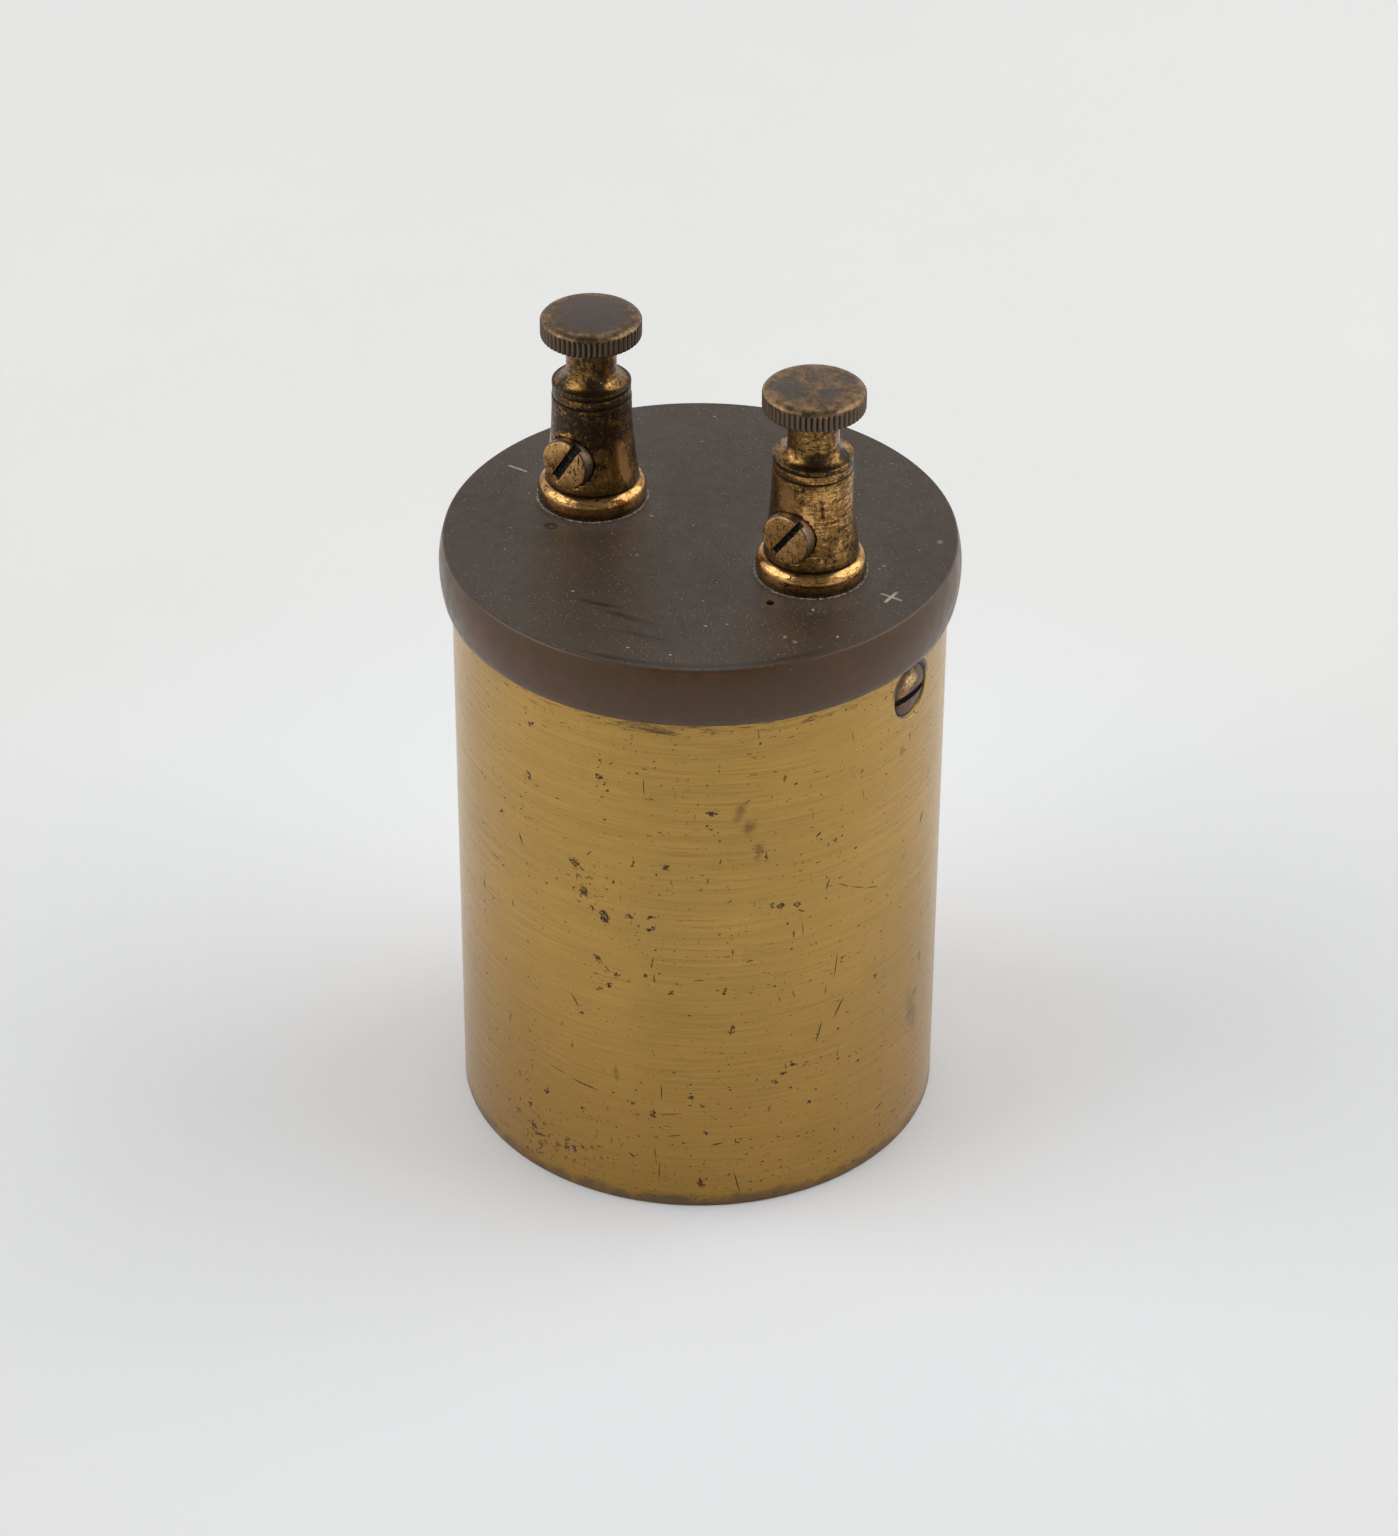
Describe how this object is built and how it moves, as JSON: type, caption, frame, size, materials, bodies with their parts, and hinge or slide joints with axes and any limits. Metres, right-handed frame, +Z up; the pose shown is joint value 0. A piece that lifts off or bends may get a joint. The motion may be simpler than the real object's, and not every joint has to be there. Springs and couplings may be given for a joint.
{
  "type": "clark standard cell",
  "caption": "Round brass case with an ebonite lid, knurled binding posts with slotted side screws, and a sealed glass reference cell inside.",
  "frame": {"origin": "middle of the case's underside, on the surface that the cell stands on", "axes": "+Z up along the case's axis; +X through the positive post and -X through the negative post; the side screws face -Y"},
  "size_m": [0.0666, 0.0666, 0.1109],
  "materials": {
    "case_brass": "satin lacquered brass, worn and spotted",
    "post_brass": "tarnished brass",
    "nut_bronze": "dark tarnished brass, knurled",
    "screw_brass": "worn brass",
    "ebonite": "matt aged hard rubber",
    "tinned_metal": "tinned",
    "cork": "natural cork",
    "wax": "paraffin wax",
    "glass": "clear",
    "mercury": "liquid metal",
    "paste": "wet white paste",
    "solution": "clear solution with crystals",
    "marine_glue": "dark pitch",
    "zinc": "amalgamated zinc",
    "copper": "bare copper wire",
    "platinum": "drawn wire"
  },
  "bodies": {
    "cell": {"case_tube": "case_brass", "base_disc": "case_brass", "lid": "ebonite", "lid_screws": "screw_brass", "hole_peg": "ebonite", "post_column_left": "post_brass", "post_column_right": "post_brass", "fixing_studs": "screw_brass", "nut_studs": "screw_brass", "lid_washers": "screw_brass", "solder_tags": "tinned_metal", "lid_nuts": "screw_brass", "cork_pad": "cork", "wax_packing": "wax", "cork_collar": "cork", "glass_cell": "glass", "mercury": "mercury", "mercurous_paste": "paste", "zinc_sulphate": "solution", "cork_stopper": "cork", "glue_seal": "marine_glue", "zinc_rod": "zinc", "zinc_lead": "copper", "glass_sheath": "glass", "platinum_lead": "platinum"},
    "left_ring": {"clamp_ring_left": "post_brass"},
    "left_nut": {"thumb_nut_left": "nut_bronze"},
    "right_ring": {"clamp_ring_right": "post_brass"},
    "right_nut": {"thumb_nut_right": "nut_bronze"},
    "left_washer": {"screw_washer_left": "screw_brass"},
    "left_screw": {"wire_screw_left": "screw_brass"},
    "right_washer": {"screw_washer_right": "screw_brass"},
    "right_screw": {"wire_screw_right": "screw_brass"}
  },
  "joints": [
    {"name": "left_nut_rise", "type": "slide", "parent": "cell", "child": "left_ring", "axis": [0, 0, 1], "range_m": [0, 0.0024]},
    {"name": "left_nut_turn", "type": "hinge", "parent": "left_ring", "child": "left_nut", "pos_m": [-0.01655, 0, 0.1], "axis": [0, 0, 1], "range_deg": [0, 1080]},
    {"name": "right_nut_rise", "type": "slide", "parent": "cell", "child": "right_ring", "axis": [0, 0, 1], "range_m": [0, 0.0024]},
    {"name": "right_nut_turn", "type": "hinge", "parent": "right_ring", "child": "right_nut", "pos_m": [0.01655, 0, 0.1], "axis": [0, 0, 1], "range_deg": [0, 1080]},
    {"name": "left_screw_draw", "type": "slide", "parent": "cell", "child": "left_washer", "axis": [0, -1, 0], "range_m": [0, 0.0012]},
    {"name": "left_screw_turn", "type": "hinge", "parent": "left_washer", "child": "left_screw", "pos_m": [-0.01655, -0.00466, 0.0919], "axis": [0, -1, 0], "range_deg": [0, 720]},
    {"name": "right_screw_draw", "type": "slide", "parent": "cell", "child": "right_washer", "axis": [0, -1, 0], "range_m": [0, 0.0012]},
    {"name": "right_screw_turn", "type": "hinge", "parent": "right_washer", "child": "right_screw", "pos_m": [0.01655, -0.00466, 0.0919], "axis": [0, -1, 0], "range_deg": [0, 720]}
  ],
  "couplings": [
    {"joint": "left_nut_turn", "follows": "left_nut_rise", "rad_per_m": 7853.9},
    {"joint": "right_nut_turn", "follows": "right_nut_rise", "rad_per_m": 7853.9},
    {"joint": "left_screw_turn", "follows": "left_screw_draw", "rad_per_m": 10472},
    {"joint": "right_screw_turn", "follows": "right_screw_draw", "rad_per_m": 10472}
  ]
}
